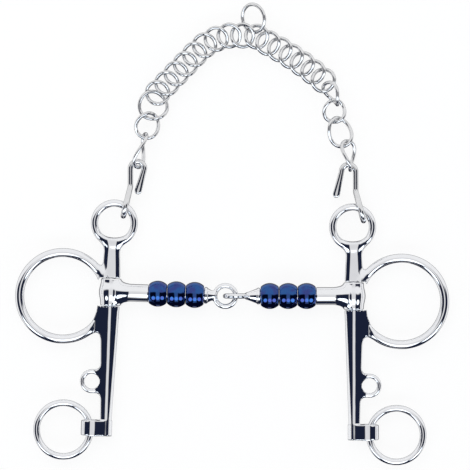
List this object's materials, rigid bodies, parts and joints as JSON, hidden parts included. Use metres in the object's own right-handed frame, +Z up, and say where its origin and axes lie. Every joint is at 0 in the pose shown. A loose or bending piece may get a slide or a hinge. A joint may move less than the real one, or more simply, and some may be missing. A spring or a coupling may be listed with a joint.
{
  "type": "pelham bit",
  "caption": "Jointed pelham horse bit with roller beads, large fixed snaffle rings, loose rein rings, lip strap loops, curb hooks and a twisted-link curb chain with a fly link.",
  "frame": {"origin": "on the surface the bit lies on, under the middle of its outline", "axes": "+X towards the bit's right cheek, +Y towards the poll (the chain and headstall end), +Z up out of the surface"},
  "size_m": [0.2467, 0.263, 0.0148],
  "materials": {
    "polished_steel": "mirror-polished stainless steel",
    "blued_rollers": "polished, heat-blued steel with an iridescent blue sheen"
  },
  "bodies": {
    "left_mouth": {"left_mouth_arm": "polished_steel"},
    "right_mouth": {"right_mouth_arm": "polished_steel"},
    "left_roller_1": {"left_roller_1": "blued_rollers"},
    "left_roller_2": {"left_roller_2": "blued_rollers"},
    "left_roller_3": {"left_roller_3": "blued_rollers"},
    "right_roller_1": {"right_roller_1": "blued_rollers"},
    "right_roller_2": {"right_roller_2": "blued_rollers"},
    "right_roller_3": {"right_roller_3": "blued_rollers"},
    "left_cheek": {"left_cheek": "polished_steel"},
    "right_cheek": {"right_cheek": "polished_steel"},
    "left_rein": {"left_rein_ring": "polished_steel"},
    "right_rein": {"right_rein_ring": "polished_steel"},
    "left_hook": {"left_curb_hook": "polished_steel"},
    "right_hook": {"right_curb_hook": "polished_steel"},
    "left_end_link_1": {"left_end_link_1": "polished_steel"},
    "left_end_link_2": {"left_end_link_2": "polished_steel"},
    "left_end_link_3": {"left_end_link_3": "polished_steel"},
    "right_end_link_1": {"right_end_link_1": "polished_steel"},
    "right_end_link_2": {"right_end_link_2": "polished_steel"},
    "right_end_link_3": {"right_end_link_3": "polished_steel"},
    "right_end_link_4": {"right_end_link_4": "polished_steel"},
    "curb_link_01": {"curb_link_01": "polished_steel"},
    "curb_link_02": {"curb_link_02": "polished_steel"},
    "curb_link_03": {"curb_link_03": "polished_steel"},
    "curb_link_04": {"curb_link_04": "polished_steel"},
    "curb_link_05": {"curb_link_05": "polished_steel"},
    "curb_link_06": {"curb_link_06": "polished_steel"},
    "curb_link_07": {"curb_link_07": "polished_steel"},
    "curb_link_08": {"curb_link_08": "polished_steel"},
    "curb_link_09": {"curb_link_09": "polished_steel"},
    "curb_link_10": {"curb_link_10": "polished_steel"},
    "curb_link_11": {"curb_link_11": "polished_steel"},
    "curb_link_12": {"curb_link_12": "polished_steel"},
    "curb_link_13": {"curb_link_13": "polished_steel"},
    "curb_link_14": {"curb_link_14": "polished_steel"},
    "curb_link_15": {"curb_link_15": "polished_steel"},
    "curb_link_16": {"curb_link_16": "polished_steel"},
    "fly_link": {"fly_link": "polished_steel"}
  },
  "joints": [
    {"name": "mouth_fold", "type": "hinge", "parent": "left_mouth", "child": "right_mouth", "pos_m": [0.00205, -0.03529, 0.0074], "axis": [0, 1, 0], "range_deg": [-30, 0]},
    {"name": "left_bail", "type": "hinge", "parent": "left_mouth", "child": "left_hook", "pos_m": [-0.06916, 0.01511, 0.0074], "axis": [1, 0, 0], "range_deg": [0, 90]},
    {"name": "right_bail", "type": "hinge", "parent": "right_mouth", "child": "right_hook", "pos_m": [0.06925, 0.01511, 0.0074], "axis": [1, 0, 0], "range_deg": [0, 90]},
    {"name": "left_cheek_swivel", "type": "hinge", "parent": "left_mouth", "child": "left_cheek", "pos_m": [-0.06916, -0.03301, 0.0074], "axis": [0.0349, 0.9994, 0], "range_deg": [-7, 7]},
    {"name": "left_rein_flap", "type": "hinge", "parent": "left_cheek", "child": "left_rein", "pos_m": [-0.08076, -0.11015, 0.0074], "axis": [0.0349, 0.9994, 0], "range_deg": [-90, 90]},
    {"name": "left_roller_1_spin", "type": "hinge", "parent": "left_mouth", "child": "left_roller_1", "pos_m": [-0.04228, -0.03395, 0.0074], "axis": [0.9994, -0.0349, 0], "continuous": true},
    {"name": "left_roller_2_spin", "type": "hinge", "parent": "left_mouth", "child": "left_roller_2", "pos_m": [-0.03178, -0.03431, 0.0074], "axis": [0.9994, -0.0349, 0], "continuous": true},
    {"name": "left_roller_3_spin", "type": "hinge", "parent": "left_mouth", "child": "left_roller_3", "pos_m": [-0.02129, -0.03468, 0.0074], "axis": [0.9994, -0.0349, 0], "continuous": true},
    {"name": "right_cheek_swivel", "type": "hinge", "parent": "right_mouth", "child": "right_cheek", "pos_m": [0.06925, -0.03529, 0.0074], "axis": [0, 1, 0], "range_deg": [-7, 7]},
    {"name": "right_rein_flap", "type": "hinge", "parent": "right_cheek", "child": "right_rein", "pos_m": [0.07815, -0.11279, 0.0074], "axis": [0, 1, 0], "range_deg": [-90, 90]},
    {"name": "right_roller_1_spin", "type": "hinge", "parent": "right_mouth", "child": "right_roller_1", "pos_m": [0.04235, -0.03529, 0.0074], "axis": [1, 0, 0], "continuous": true},
    {"name": "right_roller_2_spin", "type": "hinge", "parent": "right_mouth", "child": "right_roller_2", "pos_m": [0.03185, -0.03529, 0.0074], "axis": [1, 0, 0], "continuous": true},
    {"name": "right_roller_3_spin", "type": "hinge", "parent": "right_mouth", "child": "right_roller_3", "pos_m": [0.02135, -0.03529, 0.0074], "axis": [1, 0, 0], "continuous": true},
    {"name": "left_end_link_1_roll", "type": "hinge", "parent": "left_hook", "child": "left_end_link_1", "pos_m": [-0.05165, 0.04741, 0.0074], "axis": [0.2485, 0.9679, -0.0384], "range_deg": [-2.5, 15]},
    {"name": "left_end_link_2_roll", "type": "hinge", "parent": "left_hook", "child": "left_end_link_2", "pos_m": [-0.04815, 0.06171, 0.0074], "axis": [0.3295, 0.9409, 0.0785], "range_deg": [-2.5, 15]},
    {"name": "left_end_link_3_roll", "type": "hinge", "parent": "left_hook", "child": "left_end_link_3", "pos_m": [-0.04475, 0.07301, 0.0074], "axis": [0.2156, 0.9415, -0.2588], "range_deg": [-2.5, 2.5]},
    {"name": "right_end_link_1_roll", "type": "hinge", "parent": "right_hook", "child": "right_end_link_1", "pos_m": [0.06635, 0.04461, 0.0074], "axis": [0.0932, -0.9864, 0.1357], "range_deg": [-15, 8]},
    {"name": "right_end_link_2_roll", "type": "hinge", "parent": "right_hook", "child": "right_end_link_2", "pos_m": [0.06125, 0.05791, 0.0074], "axis": [0.294, -0.9556, 0.0209], "range_deg": [-4, 4]},
    {"name": "right_end_link_3_roll", "type": "hinge", "parent": "right_hook", "child": "right_end_link_3", "pos_m": [0.05805, 0.06991, 0.0074], "axis": [-0.0069, -0.9927, -0.1201], "range_deg": [-2.5, 15]},
    {"name": "right_end_link_4_roll", "type": "hinge", "parent": "right_hook", "child": "right_end_link_4", "pos_m": [0.05685, 0.07971, 0.0074], "axis": [0.4196, -0.8959, -0.1461], "range_deg": [-2.5, 10]},
    {"name": "curb_link_01_roll", "type": "hinge", "parent": "left_hook", "child": "curb_link_01", "pos_m": [-0.04239, 0.08018, 0.0074], "axis": [0.6947, 0.7193, 0], "range_deg": [-5, 2.5]},
    {"name": "curb_link_02_roll", "type": "hinge", "parent": "left_hook", "child": "curb_link_02", "pos_m": [-0.03711, 0.08564, 0.0074], "axis": [0.6947, 0.7193, 0], "range_deg": [-5, 5]},
    {"name": "curb_link_03_roll", "type": "hinge", "parent": "left_hook", "child": "curb_link_03", "pos_m": [-0.03184, 0.09111, 0.0074], "axis": [0.6947, 0.7193, 0], "range_deg": [-5, 5]},
    {"name": "curb_link_04_roll", "type": "hinge", "parent": "left_hook", "child": "curb_link_04", "pos_m": [-0.02655, 0.09658, 0.0074], "axis": [0.6947, 0.7193, 0], "range_deg": [-5, 5]},
    {"name": "curb_link_05_roll", "type": "hinge", "parent": "left_hook", "child": "curb_link_05", "pos_m": [-0.02128, 0.10204, 0.0074], "axis": [0.6947, 0.7193, 0], "range_deg": [-5, 5]},
    {"name": "curb_link_06_roll", "type": "hinge", "parent": "left_hook", "child": "curb_link_06", "pos_m": [-0.0157, 0.1072, 0.0074], "axis": [0.8061, 0.5918, 0], "range_deg": [-4, 4]},
    {"name": "curb_link_07_roll", "type": "hinge", "parent": "left_hook", "child": "curb_link_07", "pos_m": [-0.00908, 0.11087, 0.0074], "axis": [0.9287, 0.3709, 0], "range_deg": [-4, 4]},
    {"name": "curb_link_08_roll", "type": "hinge", "parent": "left_hook", "child": "curb_link_08", "pos_m": [-0.00174, 0.11277, 0.0074], "axis": [0.992, 0.1263, 0], "range_deg": [-4, 4]},
    {"name": "curb_link_09_roll", "type": "hinge", "parent": "right_hook", "child": "curb_link_09", "pos_m": [0.00585, 0.11283, 0.0074], "axis": [0.9955, -0.0949, 0], "range_deg": [-4, 4]},
    {"name": "curb_link_10_roll", "type": "hinge", "parent": "right_hook", "child": "curb_link_10", "pos_m": [0.0138, 0.1122, 0.0074], "axis": [0.9566, -0.2803, -0.0802], "range_deg": [-2, 1.5]},
    {"name": "curb_link_11_roll", "type": "hinge", "parent": "right_hook", "child": "curb_link_11", "pos_m": [0.02034, 0.10859, 0.0074], "axis": [0.8906, -0.4548, 0], "range_deg": [-5, 2.5]},
    {"name": "curb_link_12_roll", "type": "hinge", "parent": "right_hook", "child": "curb_link_12", "pos_m": [0.02703, 0.10497, 0.0074], "axis": [0.8675, -0.4974, 0], "range_deg": [-5, 5]},
    {"name": "curb_link_13_roll", "type": "hinge", "parent": "right_hook", "child": "curb_link_13", "pos_m": [0.03353, 0.10103, 0.0074], "axis": [0.8424, -0.5388, 0], "range_deg": [-5, 5]},
    {"name": "curb_link_14_roll", "type": "hinge", "parent": "right_hook", "child": "curb_link_14", "pos_m": [0.03983, 0.09678, 0.0074], "axis": [0.8154, -0.5789, 0], "range_deg": [-5, 5]},
    {"name": "curb_link_15_roll", "type": "hinge", "parent": "right_hook", "child": "curb_link_15", "pos_m": [0.04591, 0.09223, 0.0074], "axis": [0.7864, -0.6177, 0], "range_deg": [-5, 5]},
    {"name": "curb_link_16_roll", "type": "hinge", "parent": "right_hook", "child": "curb_link_16", "pos_m": [0.05178, 0.0874, 0.0074], "axis": [0.7556, -0.655, 0], "range_deg": [-5, 2.5]},
    {"name": "fly_swing", "type": "hinge", "parent": "right_hook", "child": "fly_link", "pos_m": [0.0115, 0.1181, 0.00586], "axis": [-0.9288, -0.3686, -0.0394], "range_deg": [-3, 4]}
  ],
  "couplings": [
    {"joint": "right_bail", "follows": "left_bail", "ratio": 1}
  ]
}
